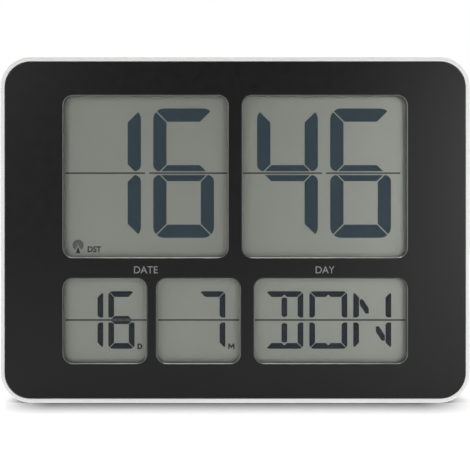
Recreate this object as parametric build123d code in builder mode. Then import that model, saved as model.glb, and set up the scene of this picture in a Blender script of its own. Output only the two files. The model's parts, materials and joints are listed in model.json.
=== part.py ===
from build123d import *
import os

os.makedirs("parts", exist_ok=True)

# A digital wall clock. X runs to the right, the front faces -Y and Z is up, with the
# case standing on Z = 0. A depth is measured from the rim of the case towards the back.

# White case, a tray open at the front
side_border = 37.1
top_border = 22.6
case_corner = 18.0
side_wall = 2.55
back_wall = 2.2
rim_round = 1.3
back_round = 2.5

# Black front panel in the mouth of the case
panel_gap = 0.2
panel_setback = 0.3
panel_thickness = 2.0
panel_round = 0.5
skirt_wall = 1.6
skirt_depth = 6.0

# Five windows, sizes at the panel's face
window_block = 205.8
window_rise = 23.2
window_corner = 6.2
window_chamfer = 0.5
time_gap = 7.8
time_height = 97.3
row_gap = 11.7
calendar_height = 51.4
date_width = 50.6
date_gap = 5.1
weekday_gap = 7.6

# Clear lens, foam frame and liquid crystal display behind the windows
lens_margin = 6.0
lens_thickness = 1.0
gasket_width = 2.0
gasket_thickness = 0.3
polariser_margin = 3.2
polariser_thickness = 0.2
glass_margin = 4.2
glass_thickness = 0.7
crystal_gap = 0.04
segment_thickness = 0.12
reflector_thickness = 0.2
contact_ledge = 4.0

# Time digits, each in two halves about a fold line
digit_width = 36.5
digit_half = 37.7
digit_stroke = 7.95
digit_fold_bar = 3.65
digit_corner = 6.6
digit_fold_corner = 3.9
digit_gap = 0.7
digit_pitch = 43.9
hour_shift = 0.5
digit_lift = 2.3
fold_gap = 1.15
fold_line = 0.85
fold_inset = 0.9
fold_break = 2.6
minute_fold_inset = 3.7

# Small digits and letters of the calendar row
small_width = 15.75
small_half = 16.65
small_stroke = 3.45
small_fold_bar = 1.8
small_corner = 2.6
small_fold_corner = 1.6
small_gap = 0.4
small_pitch = 18.8
small_fold_gap = 0.62
small_fold_trim = 0.9
calendar_lift = 0.15
date_shift = -0.1
month_shift = -1.25
letter_width = 22.8
letter_pitch = 26.4
letter_shift = -1.0
letter_notch = 1.5
stem_tip = 0.9
stem_foot = 1.0
stem_head = 1.6
diagonal_end = 1.9
diagonal_side = 3.2
diagonal_inset = 1.0

# Frame that clamps the display to the panel
holder_floor = 1.5
holder_rim = 1.6
holder_play = 0.2
lug_radius = 4.0
lug_reach = 3.5
lug_height_shares = (0.16, 0.84)
holder_columns = 3
holder_border = 9.3
holder_bar = 8.0
holder_foot = 2.8
holder_head = 18.0

# Circuit board
board_width = 168.0
board_height = 48.0
board_corner = 2.0
board_thickness = 1.6
board_lift = 1.2
board_over = 4.2
board_screw_inset = 5.0
zebra_end = 14.0
zebra_width = 2.2
zebra_play = 0.2
chip_radius = 7.0
chip_height = 1.8
chip_round = 0.8
chip_place = (-34.0, -6.0)
crystal_radius = 1.5
crystal_length = 8.0
crystal_lift = 0.1
crystal_place = (-14.0, -14.0)
capacitor_radius = 2.5
capacitor_height = 7.0
capacitor_round = 0.5
capacitor_place = (33.0, -15.0)
capacitor_pitch = 10.0

# Push buttons on the back, each over a tall switch
button_names = ("set", "up", "down", "wave")
button_pitch = 24.0
button_lift = 5.0
button_radius = 4.2
button_gap = 0.3
button_inset = 0.5
button_round = 0.6
button_travel = 0.5
flange_over = 1.3
flange_thickness = 1.2
flange_play = 0.15
dish_length = 92.0
dish_height = 17.0
dish_depth = 1.4
pad_border = 2.0
switch_size = 6.0
switch_height = 3.5
switch_floor = 0.3
plunger_radius = 1.7
plunger_play = 0.05

# Battery pocket for two AA cells side by side
cell_radius = 7.1
cell_length = 50.5
cell_nub_radius = 2.7
cell_nub = 1.2
cell_round = 0.6
cell_play = 0.3
cell_headroom = 0.9
pocket_drop = 10.7
pocket_lift = 14.0
pocket_wall = 1.6
pocket_floor = 1.6
pocket_gap = 3.9
contact_thickness = 0.4
contact_width = 9.0
contact_height = 10.0
leaf_rise = 4.0
leaf_relief = 0.6
tab_width = 3.0
tab_reach = 3.0
tab_play = 0.1
lead_radius = 0.6
lead_bend = 4.0
lead_pad_drop = 17.0
lead_pad_x = -46.0
lead_pad_step = 6.0

# Hinged battery cover
cover_thickness = 1.8
cover_lap = 3.0
cover_gap = 0.3
cover_seat = 0.2
cover_corner = 2.0
cover_knuckle = 1.5
cover_pin = 0.9
cover_pin_length = 2.0
cover_grip_width = 16.0
cover_grip_depth = 0.5
cover_grip_line = 1.0
cover_grip_pitch = 2.4
cover_grip_lines = 3
cover_grip_drop = 6.0
nail_notch_radius = 6.0
back_inset = 0.2
opening_border = 3.0
opening_floor = 1.6

# Folding stand
stand_width = 64.0
stand_thickness = 4.0
stand_end_rise = 6.0
stand_corner = 5.0
stand_pin = 1.6
stand_pin_length = 2.5
stand_gap = 0.3
stand_floor = 1.6
stand_border = 3.5
stand_panel_border = 8.0
stand_panel_depth = 1.0
notch_radius = 9.0
scoop_radius = 9.0
scoop_rise = 10.0
scoop_depth = 5.0
pin_play = 0.05

# Keyholes for two wall screws
keyhole_spacing = 170.0
keyhole_drop = 40.2
keyhole_radius = 4.5
keyhole_slot = 4.6
keyhole_length = 9.0
hood_depth = 6.0
hood_play = 1.0
hood_wall = 1.6

# Antenna and radio receiver
rod_radius = 4.0
rod_length = 60.0
rod_spot = (80.0, 25.0)
rod_height = 7.8
rod_play = 0.05
coil_radius = 5.6
coil_length = 34.0
cradle_pitch = 44.0
cradle_width = 14.0
cradle_thickness = 3.0
cradle_lip = 3.0
receiver_width = 28.0
receiver_height = 16.0
receiver_thickness = 1.0
receiver_spot = (80.0, 50.0)
receiver_post_radius = 2.6
receiver_post_height = 6.8
receiver_post_pitch = 20.0
receiver_chip_size = 6.0
receiver_chip_height = 1.2
ribbon_width = 3.6
ribbon_thickness = 1.2
ribbon_bend = 3.0
ribbon_lift = 4.0
ribbon_inset = 3.0
ribbon_end_drop = 20.0
ribbon_x = 66.8
antenna_lead_radius = 0.4
antenna_lead_pitch = 12.0
antenna_lead_play = 0.05

# Screws: shank radius, length, head radius and height
case_screw_rise = 20.0
case_screw = (1.3, 10.0, 2.5, 1.8)
small_screw = (1.0, 4.2, 1.9, 1.4)
screw_play = 0.05
screw_pass = 0.3
screw_head_play = 0.5
recess_share = 0.55
recess_depth_share = 0.5
recess_slot_share = 0.3
boss_radius = 3.6
boss_height = 11.0
boss_floor = 1.5
well_radius = 4.8
well_floor = 2.0
small_boss_radius = 2.8
pilot_floor = 0.3

# Depths of the layers, from the rim backwards
panel_back = panel_setback + panel_thickness
lens_back = panel_back + lens_thickness
gasket_back = lens_back + gasket_thickness
polariser_back = gasket_back + polariser_thickness
front_glass_back = polariser_back + glass_thickness
segment_back = front_glass_back + crystal_gap + segment_thickness
rear_glass_back = segment_back + crystal_gap + glass_thickness
reflector_back = rear_glass_back + reflector_thickness
holder_back = reflector_back + holder_floor
board_front = holder_back + board_lift
board_back = board_front + board_thickness
pocket_front = holder_back + pocket_gap
pocket_bottom = pocket_front + pocket_floor
cell_depth = pocket_bottom + cell_play + cell_radius
cover_front = cell_depth + cell_radius + cell_headroom
cover_back = cover_front + cover_thickness
case_depth = cover_back + back_inset
inner_back = case_depth - back_wall
boss_back = panel_back + boss_height

# Outlines that follow from the sizes above
time_width = (window_block - time_gap) / 2
weekday_width = window_block - 2 * date_width - date_gap - weekday_gap
block_left = -window_block / 2
calendar_middle = window_rise + calendar_height / 2
time_middle = window_rise + calendar_height + row_gap + time_height / 2
window_top = time_middle + time_height / 2
window_middle = (window_rise + window_top) / 2
window_height = window_top - window_rise
hour_x = block_left + time_width / 2
minute_x = -hour_x
date_x = block_left + date_width / 2
month_x = date_x + date_width + date_gap
weekday_x = -block_left - weekday_width / 2
windows = (
    (hour_x, time_middle, time_width, time_height),
    (minute_x, time_middle, time_width, time_height),
    (date_x, calendar_middle, date_width, calendar_height),
    (month_x, calendar_middle, date_width, calendar_height),
    (weekday_x, calendar_middle, weekday_width, calendar_height),
)

case_width = window_block + 2 * side_border
case_height = window_top + top_border
middle = case_height / 2
mouth_width = case_width - 2 * side_wall
mouth_height = case_height - 2 * side_wall
mouth_corner = case_corner - side_wall
panel_width = mouth_width - 2 * panel_gap
panel_height = mouth_height - 2 * panel_gap
panel_corner = mouth_corner - panel_gap

glass_width = window_block + 2 * glass_margin
glass_height = window_height + 2 * glass_margin
glass_top = window_top + glass_margin
ledge_middle = glass_top + contact_ledge / 2
tray_width = glass_width + 2 * holder_play
tray_height = glass_height + contact_ledge + 2 * holder_play
tray_middle = window_middle + contact_ledge / 2
holder_width = tray_width + 2 * holder_rim
holder_height = tray_height + 2 * holder_rim
lug_x = holder_width / 2 + lug_reach
lug_spots = [
    (side * lug_x, window_rise + share * window_height)
    for side in (-1, 1)
    for share in lug_height_shares
]

board_middle = glass_top + contact_ledge + board_over - board_height / 2
board_low = board_middle - board_height / 2
board_screw_x = board_width / 2 - board_screw_inset
board_spot = (0, board_middle)
button_rise = board_middle + button_lift
lead_pad_rise = board_middle - lead_pad_drop
ribbon_end_rise = board_middle - ribbon_end_drop
board_screw_step = board_height - 2 * board_screw_inset
zebra_length = board_width - 2 * zebra_end
openings_low = window_rise + holder_foot
openings_high = board_low - holder_head
holder_opening_width = (tray_width - 2 * holder_border + holder_bar) / holder_columns - holder_bar
holder_opening_height = (openings_high - openings_low - holder_bar) / 2

case_screw_x = (holder_width + mouth_width) / 4
case_screw_spots = [
    (side * case_screw_x, rise)
    for side in (-1, 1)
    for rise in (case_screw_rise, middle, case_height - case_screw_rise)
]

pad_front = inner_back - dish_depth
flange_back = pad_front - flange_play
flange_front = flange_back - flange_thickness
button_xs = [button_pitch * (place - (len(button_names) - 1) / 2) for place in range(len(button_names))]

pocket_length = cell_length + contact_thickness + leaf_rise
pocket_height = 4 * cell_radius + 3 * cell_play
pocket_rise = board_low - pocket_drop - pocket_height
pocket_middle = pocket_rise + pocket_height / 2
lower_cell_rise = pocket_rise + cell_play + cell_radius
upper_cell_rise = lower_cell_rise + 2 * cell_radius + cell_play
pocket_end = pocket_length / 2

cover_axis_depth = cover_back - cover_knuckle
cover_axis_rise = pocket_rise - pocket_wall - cover_knuckle - 2 * cover_gap
cover_width = pocket_length + 2 * cover_lap
cover_top = pocket_rise + pocket_height + cover_lap
opening_width = cover_width + 2 * cover_gap
opening_low = cover_axis_rise - cover_knuckle - cover_gap
opening_high = cover_top + cover_gap

stand_axis_rise = pocket_rise - pocket_lift
stand_back = case_depth - back_inset
stand_axis_depth = stand_back - stand_thickness / 2
stand_front = stand_back - stand_thickness
recess_depth = stand_front - stand_gap
recess_width = stand_width + 2 * stand_gap
recess_low = stand_end_rise - stand_gap
recess_high = stand_axis_rise + stand_thickness / 2 + stand_gap
scoop_spot = (0, stand_end_rise + scoop_rise)

keyhole_rise = case_height - keyhole_drop
hood_spots = [(side * keyhole_spacing / 2, keyhole_rise + keyhole_length / 2) for side in (-1, 1)]
hood_width = 2 * (keyhole_radius + hood_play)
rod_depth = inner_back - rod_height
receiver_back = inner_back - receiver_post_height
receiver_front = receiver_back - receiver_thickness
receiver_post_spots = [
    (receiver_spot[0] + side * receiver_post_pitch / 2, receiver_spot[1]) for side in (-1, 1)
]


def layer(depth):
    """Plane at a depth behind the rim, seen from the front: X right, Z up, normal forward."""
    return Plane.XZ.offset(case_depth / 2 - depth)


def across(x):
    """Plane square to X at a place along X, with local x along Y and local y along Z."""
    return Plane.YZ.offset(x)


def behind(depth):
    """Y of a depth behind the rim."""
    return depth - case_depth / 2


def make_screws(spots, seat, screw, way):
    """Pan head screws with a cross recess, driven forwards (1) or backwards (-1) from a seat."""
    shank, length, head, head_height = screw
    top = seat + way * head_height
    with BuildPart() as screws:
        with BuildSketch(layer(seat)):
            with Locations(*spots):
                Circle(shank)
        extrude(amount=way * length)
        with BuildSketch(layer(top)):
            with Locations(*spots):
                Circle(head)
        extrude(amount=way * head_height)
        with BuildSketch(layer(top)):
            with Locations(*spots):
                Rectangle(2 * head * recess_share, head * recess_slot_share)
                Rectangle(head * recess_slot_share, 2 * head * recess_share)
        extrude(amount=way * head_height * recess_depth_share, mode=Mode.SUBTRACT)
    return screws


def half_digit(width, height, stroke, fold_bar, corner, fold_corner, gap, trim):
    """Upper half of a digit, cut on its mitres into bars named t, l, r and f (at the fold)."""
    with BuildSketch() as half:
        Rectangle(width, height, align=(Align.CENTER, Align.MIN))
        fillet(half.vertices().group_by(Axis.Y)[-1], corner)
        fillet(half.vertices().group_by(Axis.Y)[0], fold_corner)
        with Locations((0, fold_bar)):
            Rectangle(
                width - 2 * stroke,
                height - stroke - fold_bar,
                align=(Align.CENTER, Align.MIN),
                mode=Mode.SUBTRACT,
            )
        for side in (-1, 1):
            inner = side * (width / 2 - stroke)
            with Locations((inner, height - stroke)):
                Rectangle(4 * stroke, gap, rotation=side * 45, mode=Mode.SUBTRACT)
            with Locations((inner, fold_bar)):
                Rectangle(4 * stroke, gap, rotation=-side * 45, mode=Mode.SUBTRACT)
    bars = half.faces()
    named = {"t": bars.sort_by(Axis.Y)[-1], "f": bars.sort_by(Axis.Y)[0]}
    for name, place in (("l", 0), ("r", -1)):
        with BuildSketch() as upright:
            add(bars.sort_by(Axis.X)[place])
            if trim:
                Rectangle(width, 2 * trim, mode=Mode.SUBTRACT)
        named[name] = upright.face()
    return named


def add_half(bars, lit, x, rise, gap, upside):
    """Lit bars of one half, above (1) or below (-1) the fold line at a rise."""
    for bar in lit:
        face = bars[bar]
        if upside < 0:
            face = mirror(face, about=Plane.XZ, mode=Mode.PRIVATE)
        with Locations((x, rise + upside * gap)):
            add(face)


# Lit bars of each sign, upper half then lower half. In the lower half t is the bottom bar.
# The letters also have a centre stem s and the diagonals d.
signs = {
    "zero": ("tlr", "tlr"),
    "one": ("r", "r"),
    "two": ("trf", "tlf"),
    "three": ("trf", "trf"),
    "four": ("lrf", "rf"),
    "five": ("tlf", "trf"),
    "six": ("tlf", "tlrf"),
    "seven": ("tr", "r"),
    "eight": ("tlrf", "tlrf"),
    "nine": ("tlrf", "trf"),
    "letter D": ("trs", "trs"),
    "letter O": ("tlr", "tlr"),
    "letter N": ("lrd", "lrd"),
}
hour_shown = ("one", "six")
minute_shown = ("four", "six")
date_shown = ("one", "six")
month_shown = "seven"
weekday_shown = ("letter D", "letter O", "letter N")

time_bars = half_digit(
    digit_width, digit_half, digit_stroke, digit_fold_bar, digit_corner, digit_fold_corner, digit_gap, 0
)
small_bars, letter_bars = [
    half_digit(
        width,
        small_half,
        small_stroke,
        small_fold_bar,
        small_corner,
        small_fold_corner,
        small_gap,
        small_fold_trim,
    )
    for width in (small_width, letter_width)
]

# Centre stem of a letter, with the notch it leaves in the top bar
stem_top = small_half - small_stroke + letter_notch - stem_head
stem_half = small_stroke / 2
with BuildSketch() as letter_stem:
    with BuildLine():
        Polyline(
            (-stem_half, stem_foot + stem_tip),
            (0, stem_foot),
            (stem_half, stem_foot + stem_tip),
            (stem_half, stem_top - stem_tip),
            (0, stem_top),
            (-stem_half, stem_top - stem_tip),
            close=True,
        )
    make_face()
letter_bars["s"] = letter_stem.face()
with BuildSketch() as notched_bar:
    add(letter_bars["t"])
    with BuildLine():
        Polyline(
            (-letter_notch, small_half - small_stroke),
            (letter_notch, small_half - small_stroke),
            (0, small_half - small_stroke + letter_notch),
            close=True,
        )
    make_face(mode=Mode.SUBTRACT)
letter_bars["t"] = notched_bar.face()

# Diagonal of a letter's upper left quarter
diagonal_left = -letter_width / 2 + small_stroke + small_gap
diagonal_right = -stem_half - small_gap
diagonal_low = small_fold_bar + small_gap + diagonal_inset
diagonal_high = small_half - small_stroke - small_gap - diagonal_inset
with BuildSketch() as letter_diagonal:
    with BuildLine():
        Polyline(
            (diagonal_left, diagonal_high),
            (diagonal_left + diagonal_end, diagonal_high),
            (diagonal_right, diagonal_low + diagonal_side),
            (diagonal_right, diagonal_low),
            (diagonal_right - diagonal_end, diagonal_low),
            (diagonal_left, diagonal_high - diagonal_side),
            close=True,
        )
    make_face()
letter_bars["d"] = letter_diagonal.face()


def add_sign(bars, sign, x, rise, gap):
    """One digit or letter about its fold line."""
    for lit, upside in zip(signs[sign], (1, -1)):
        add_half(bars, lit.replace("d", ""), x, rise, gap, upside)
        if "d" in lit:
            with Locations((x, rise + upside * gap)):
                add(bars["d"], rotation=(1 - upside) * 90)


def add_row(bars, shown, x, pitch, rise, gap):
    """A row of digits or letters centred on x."""
    for place, sign in enumerate(shown):
        add_sign(bars, sign, x + pitch * (place - (len(shown) - 1) / 2), rise, gap)


def add_fold(left, right, rise):
    """Fold line between two places along X."""
    with Locations(((left + right) / 2, rise)):
        Rectangle(right - left, fold_line)


# White case
with BuildPart() as rear_case:
    with BuildSketch(layer(case_depth)):
        with Locations((0, middle)):
            RectangleRounded(case_width, case_height, case_corner)
    extrude(amount=case_depth)
    fillet(rear_case.edges().group_by(Axis.Y)[-1], back_round)
    fillet(rear_case.edges().group_by(Axis.Y)[0], rim_round)
    with BuildSketch(layer(inner_back)):
        with Locations((0, middle)):
            RectangleRounded(mouth_width, mouth_height, mouth_corner)
    extrude(amount=case_depth, mode=Mode.SUBTRACT)
    # Wells for the case screws
    with BuildSketch(layer(inner_back)):
        with Locations(*case_screw_spots):
            Circle(well_radius)
    extrude(amount=inner_back - boss_back)
    with BuildSketch(layer(case_depth)):
        with Locations(*case_screw_spots):
            Circle(case_screw[2] + screw_head_play)
    extrude(amount=case_depth - boss_back - well_floor, mode=Mode.SUBTRACT)
    with BuildSketch(layer(case_depth)):
        with Locations(*case_screw_spots):
            Circle(case_screw[0] + screw_pass)
    extrude(amount=case_depth - boss_back, mode=Mode.SUBTRACT)
    # Backing of the button dish
    with BuildSketch(layer(inner_back)):
        with Locations((0, button_rise)):
            SlotOverall(dish_length + 2 * pad_border, dish_height + 2 * pad_border)
    extrude(amount=dish_depth)
    with BuildSketch(layer(case_depth)):
        with Locations((0, button_rise)):
            SlotOverall(dish_length, dish_height)
    extrude(amount=dish_depth, mode=Mode.SUBTRACT)
    with BuildSketch(layer(case_depth)):
        with Locations(*[(x, button_rise) for x in button_xs]):
            Circle(button_radius + button_gap)
    extrude(amount=case_depth - pad_front, mode=Mode.SUBTRACT)
    # Border of the battery opening, then the pocket behind it
    with BuildSketch(layer(inner_back)):
        with Locations((0, (opening_low + opening_high) / 2)):
            Rectangle(
                opening_width + 2 * opening_border,
                opening_high - opening_low + 2 * opening_border,
            )
        with Locations((0, opening_high)):
            Circle(nail_notch_radius + opening_border)
    extrude(amount=inner_back - cover_axis_depth + cover_knuckle + cover_gap + opening_floor)
    with BuildSketch(layer(inner_back)):
        with Locations((0, pocket_middle)):
            Rectangle(pocket_length + 2 * pocket_wall, pocket_height + 2 * pocket_wall)
    extrude(amount=inner_back - pocket_front)
    with BuildSketch(layer(case_depth)):
        with Locations((0, pocket_middle)):
            Rectangle(pocket_length, pocket_height)
    extrude(amount=case_depth - pocket_bottom, mode=Mode.SUBTRACT)
    with BuildSketch(layer(case_depth)):
        with Locations((0, (opening_low + opening_high) / 2)):
            Rectangle(opening_width, opening_high - opening_low)
    extrude(amount=case_depth - cover_front + cover_seat, mode=Mode.SUBTRACT)
    with BuildSketch(across(-opening_width / 2)):
        with Locations((behind(cover_axis_depth), cover_axis_rise)):
            Circle(cover_knuckle + cover_gap)
    extrude(amount=opening_width, mode=Mode.SUBTRACT)
    with BuildSketch(across(-cover_width / 2 - cover_pin_length)):
        with Locations((behind(cover_axis_depth), cover_axis_rise)):
            Circle(cover_pin + pin_play)
    extrude(amount=cover_width + 2 * cover_pin_length, mode=Mode.SUBTRACT)
    with BuildSketch(layer(case_depth)):
        with Locations((0, opening_high)):
            Circle(nail_notch_radius)
    extrude(amount=case_depth - cover_front + cover_seat, mode=Mode.SUBTRACT)
    # Slits for the two contact tabs in the pocket's end wall
    with BuildSketch(across(-pocket_end - pocket_wall)):
        with Locations(
            (behind(cell_depth), upper_cell_rise), (behind(cell_depth), lower_cell_rise)
        ):
            Rectangle(tab_width + 2 * tab_play, contact_thickness + 2 * tab_play)
    extrude(amount=pocket_wall, mode=Mode.SUBTRACT)
    # Recess of the stand, with a finger scoop behind its free end
    with BuildSketch(layer(inner_back)):
        with Locations((0, (recess_low + recess_high) / 2)):
            Rectangle(
                recess_width + 2 * stand_border,
                recess_high - recess_low + 2 * stand_floor,
            )
    extrude(amount=inner_back - recess_depth + stand_floor)
    with BuildSketch(layer(recess_depth)):
        with Locations(scoop_spot):
            Circle(scoop_radius + stand_floor)
    extrude(amount=scoop_depth + stand_floor)
    with BuildSketch(layer(case_depth)):
        with Locations((0, (recess_low + recess_high) / 2)):
            Rectangle(recess_width, recess_high - recess_low)
    extrude(amount=case_depth - recess_depth, mode=Mode.SUBTRACT)
    with BuildSketch(layer(recess_depth)):
        with Locations(scoop_spot):
            Circle(scoop_radius)
    extrude(amount=scoop_depth, mode=Mode.SUBTRACT)
    with BuildSketch(across(-recess_width / 2 - stand_pin_length)):
        with Locations((behind(stand_axis_depth), stand_axis_rise)):
            Circle(stand_pin + pin_play)
    extrude(amount=recess_width + 2 * stand_pin_length, mode=Mode.SUBTRACT)
    # Keyholes, each over a closed pocket for the head of a wall screw
    with BuildSketch(layer(inner_back)):
        with Locations(*hood_spots):
            SlotCenterToCenter(keyhole_length, hood_width + 2 * hood_wall, rotation=90)
    extrude(amount=hood_depth + hood_wall)
    with BuildSketch(layer(inner_back)):
        with Locations(*hood_spots):
            SlotCenterToCenter(keyhole_length, hood_width, rotation=90)
    extrude(amount=hood_depth, mode=Mode.SUBTRACT)
    with BuildSketch(layer(case_depth)):
        for side in (-1, 1):
            with Locations((side * keyhole_spacing / 2, keyhole_rise)):
                Circle(keyhole_radius)
                Rectangle(keyhole_slot, keyhole_length, align=(Align.CENTER, Align.MIN))
            with Locations((side * keyhole_spacing / 2, keyhole_rise + keyhole_length)):
                Circle(keyhole_slot / 2)
    extrude(amount=back_wall, mode=Mode.SUBTRACT)
    # Cradles of the antenna rod
    with BuildSketch(layer(inner_back)):
        with Locations(rod_spot):
            with GridLocations(cradle_pitch, 0, 2, 1):
                Rectangle(cradle_thickness, cradle_width)
    extrude(amount=rod_height + cradle_lip)
    with BuildSketch(across(rod_spot[0] - rod_length / 2)):
        with Locations((behind(rod_depth), rod_spot[1])):
            Circle(rod_radius + rod_play)
            Rectangle(
                2 * rod_radius,
                2 * (rod_radius + rod_play),
                align=(Align.MAX, Align.CENTER),
            )
    extrude(amount=rod_length, mode=Mode.SUBTRACT)
    # Posts of the receiver board
    with BuildSketch(layer(inner_back)):
        with Locations(*receiver_post_spots):
            Circle(receiver_post_radius)
    extrude(amount=receiver_post_height)
    with BuildSketch(layer(receiver_back)):
        with Locations(*receiver_post_spots):
            Circle(small_screw[0] + screw_play)
    extrude(amount=-receiver_post_height + pilot_floor, mode=Mode.SUBTRACT)

# Black front panel
with BuildPart() as front_panel:
    with BuildSketch(layer(panel_back)):
        with Locations((0, middle)):
            RectangleRounded(panel_width, panel_height, panel_corner)
    extrude(amount=panel_thickness)
    fillet(front_panel.edges().group_by(Axis.Y)[0], panel_round)
    with BuildSketch(layer(panel_back)):
        for x, rise, width, height in windows:
            with Locations((x, rise)):
                RectangleRounded(
                    width - 2 * window_chamfer,
                    height - 2 * window_chamfer,
                    window_corner - window_chamfer,
                )
    extrude(amount=panel_thickness, mode=Mode.SUBTRACT)
    panel_face = front_panel.faces().sort_by(Axis.Y)[0]
    chamfer([edge for hole in panel_face.inner_wires() for edge in hole.edges()], window_chamfer)
    with BuildSketch(layer(panel_back + skirt_depth)):
        with Locations((0, middle)):
            RectangleRounded(panel_width, panel_height, panel_corner)
            RectangleRounded(
                panel_width - 2 * skirt_wall,
                panel_height - 2 * skirt_wall,
                panel_corner - skirt_wall,
                mode=Mode.SUBTRACT,
            )
    extrude(amount=skirt_depth)
    # Bosses of the case screws
    with BuildSketch(layer(boss_back)):
        with Locations(*case_screw_spots):
            Circle(boss_radius)
    extrude(amount=boss_height)
    with BuildSketch(layer(boss_back)):
        with Locations(*case_screw_spots):
            Circle(case_screw[0] + screw_play)
    extrude(amount=boss_height - boss_floor, mode=Mode.SUBTRACT)
    # Bosses of the display holder
    with BuildSketch(layer(reflector_back)):
        with Locations(*lug_spots):
            Circle(small_boss_radius)
    extrude(amount=reflector_back - panel_back)
    with BuildSketch(layer(reflector_back)):
        with Locations(*lug_spots):
            Circle(small_screw[0] + screw_play)
    extrude(amount=reflector_back - panel_back - pilot_floor, mode=Mode.SUBTRACT)

# Clear lens over all five windows
with BuildPart() as window_lens:
    with BuildSketch(layer(lens_back)):
        with Locations((0, window_middle)):
            RectangleRounded(
                window_block + 2 * lens_margin, window_height + 2 * lens_margin, window_corner / 2
            )
    extrude(amount=lens_thickness)

# Foam frame between lens and display
with BuildPart() as lens_gasket:
    with BuildSketch(layer(gasket_back)):
        with Locations((0, window_middle)):
            Rectangle(
                window_block + 2 * polariser_margin,
                window_height + 2 * polariser_margin,
            )
            Rectangle(
                window_block + 2 * (polariser_margin - gasket_width),
                window_height + 2 * (polariser_margin - gasket_width),
                mode=Mode.SUBTRACT,
            )
    extrude(amount=gasket_thickness)

# Layers of the display
with BuildPart() as lcd_front_polariser:
    with BuildSketch(layer(polariser_back)):
        with Locations((0, window_middle)):
            Rectangle(
                window_block + 2 * polariser_margin,
                window_height + 2 * polariser_margin,
            )
    extrude(amount=polariser_thickness)

with BuildPart() as lcd_front_glass:
    with BuildSketch(layer(front_glass_back)):
        with Locations((0, tray_middle)):
            Rectangle(glass_width, glass_height + contact_ledge)
    extrude(amount=glass_thickness)

with BuildPart() as lcd_rear_glass:
    with BuildSketch(layer(rear_glass_back)):
        with Locations((0, window_middle)):
            Rectangle(glass_width, glass_height)
    extrude(amount=glass_thickness)

with BuildPart() as lcd_reflector:
    with BuildSketch(layer(reflector_back)):
        with Locations((0, window_middle)):
            Rectangle(
                window_block + 2 * polariser_margin,
                window_height + 2 * polariser_margin,
            )
    extrude(amount=reflector_thickness)

# Lit segments between the two glasses
time_fold = time_middle + digit_lift
calendar_fold = calendar_middle + calendar_lift
hour_middle = hour_x + hour_shift
hour_left = hour_x - time_width / 2 + fold_inset
hour_right = hour_x + time_width / 2 - fold_inset
minute_left = minute_x - time_width / 2 + fold_inset
minute_right = minute_x + time_width / 2 - minute_fold_inset

with BuildPart() as hour_segments:
    with BuildSketch(layer(segment_back)):
        add_row(time_bars, hour_shown, hour_middle, digit_pitch, time_fold, fold_gap)
        add_fold(hour_left, hour_middle - fold_break / 2, time_fold)
        add_fold(hour_middle + fold_break / 2, hour_right, time_fold)
    extrude(amount=segment_thickness)

with BuildPart() as minute_segments:
    with BuildSketch(layer(segment_back)):
        add_row(time_bars, minute_shown, minute_x, digit_pitch, time_fold, fold_gap)
        add_fold(minute_left, minute_x - fold_break / 2, time_fold)
        add_fold(minute_x + fold_break / 2, minute_right, time_fold)
    extrude(amount=segment_thickness)

with BuildPart() as date_segments:
    with BuildSketch(layer(segment_back)):
        add_row(small_bars, date_shown, date_x + date_shift, small_pitch, calendar_fold, small_fold_gap)
        add_fold(
            date_x - date_width / 2 + fold_inset, date_x + date_width / 2 - fold_inset, calendar_fold
        )
    extrude(amount=segment_thickness)

with BuildPart() as month_segments:
    with BuildSketch(layer(segment_back)):
        add_sign(
            small_bars, month_shown, month_x + month_shift + small_pitch / 2, calendar_fold, small_fold_gap
        )
        add_fold(
            month_x - date_width / 2 + fold_inset, month_x + date_width / 2 - fold_inset, calendar_fold
        )
    extrude(amount=segment_thickness)

with BuildPart() as weekday_segments:
    with BuildSketch(layer(segment_back)):
        letters_x = weekday_x + letter_shift
        add_row(letter_bars, weekday_shown, letters_x, letter_pitch, calendar_fold, small_fold_gap)
        add_fold(
            weekday_x - weekday_width / 2 + fold_inset,
            weekday_x + weekday_width / 2 - fold_inset,
            calendar_fold,
        )
    extrude(amount=segment_thickness)

# Frame that holds the display
board_screw_spots = [
    (side * board_screw_x, board_middle + end * board_screw_step / 2) for side in (-1, 1) for end in (-1, 1)
]
with BuildPart() as lcd_holder:
    with BuildSketch(layer(holder_back)):
        with Locations((0, tray_middle)):
            Rectangle(holder_width, holder_height)
        with Locations(*lug_spots):
            Circle(lug_radius)
            Rectangle(2 * lug_reach, 2 * lug_radius)
    extrude(amount=holder_floor)
    with BuildSketch(layer(reflector_back)):
        with Locations((0, tray_middle)):
            Rectangle(holder_width, holder_height)
            Rectangle(tray_width, tray_height, mode=Mode.SUBTRACT)
    extrude(amount=reflector_back - lens_back)
    with BuildSketch(layer(board_front)):
        with Locations(*board_screw_spots):
            Circle(small_boss_radius)
    extrude(amount=board_lift)
    with BuildSketch(layer(board_front)):
        with Locations(*board_screw_spots):
            Circle(small_screw[0] + screw_play)
        with Locations(*lug_spots):
            Circle(small_screw[0] + screw_pass)
        with Locations((0, ledge_middle)):
            Rectangle(zebra_length + 2 * zebra_play, zebra_width + 2 * zebra_play)
        with Locations((0, (openings_low + openings_high) / 2)):
            with GridLocations(
                holder_opening_width + holder_bar, holder_opening_height + holder_bar, holder_columns, 2
            ):
                Rectangle(holder_opening_width, holder_opening_height)
    extrude(amount=board_front - reflector_back, mode=Mode.SUBTRACT)

holder_screws = make_screws(lug_spots, holder_back, small_screw, 1)

# Circuit board with its rubber connector and components
with BuildPart() as zebra_strip:
    with BuildSketch(layer(board_front)):
        with Locations((0, ledge_middle)):
            Rectangle(zebra_length, zebra_width)
    extrude(amount=board_front - front_glass_back)

with BuildPart() as main_board:
    with BuildSketch(layer(board_back)):
        with Locations(board_spot):
            RectangleRounded(board_width, board_height, board_corner)
        with Locations(*board_screw_spots):
            Circle(small_screw[0] + screw_pass, mode=Mode.SUBTRACT)
    extrude(amount=board_thickness)

board_screws = make_screws(board_screw_spots, board_back, small_screw, 1)

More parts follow.
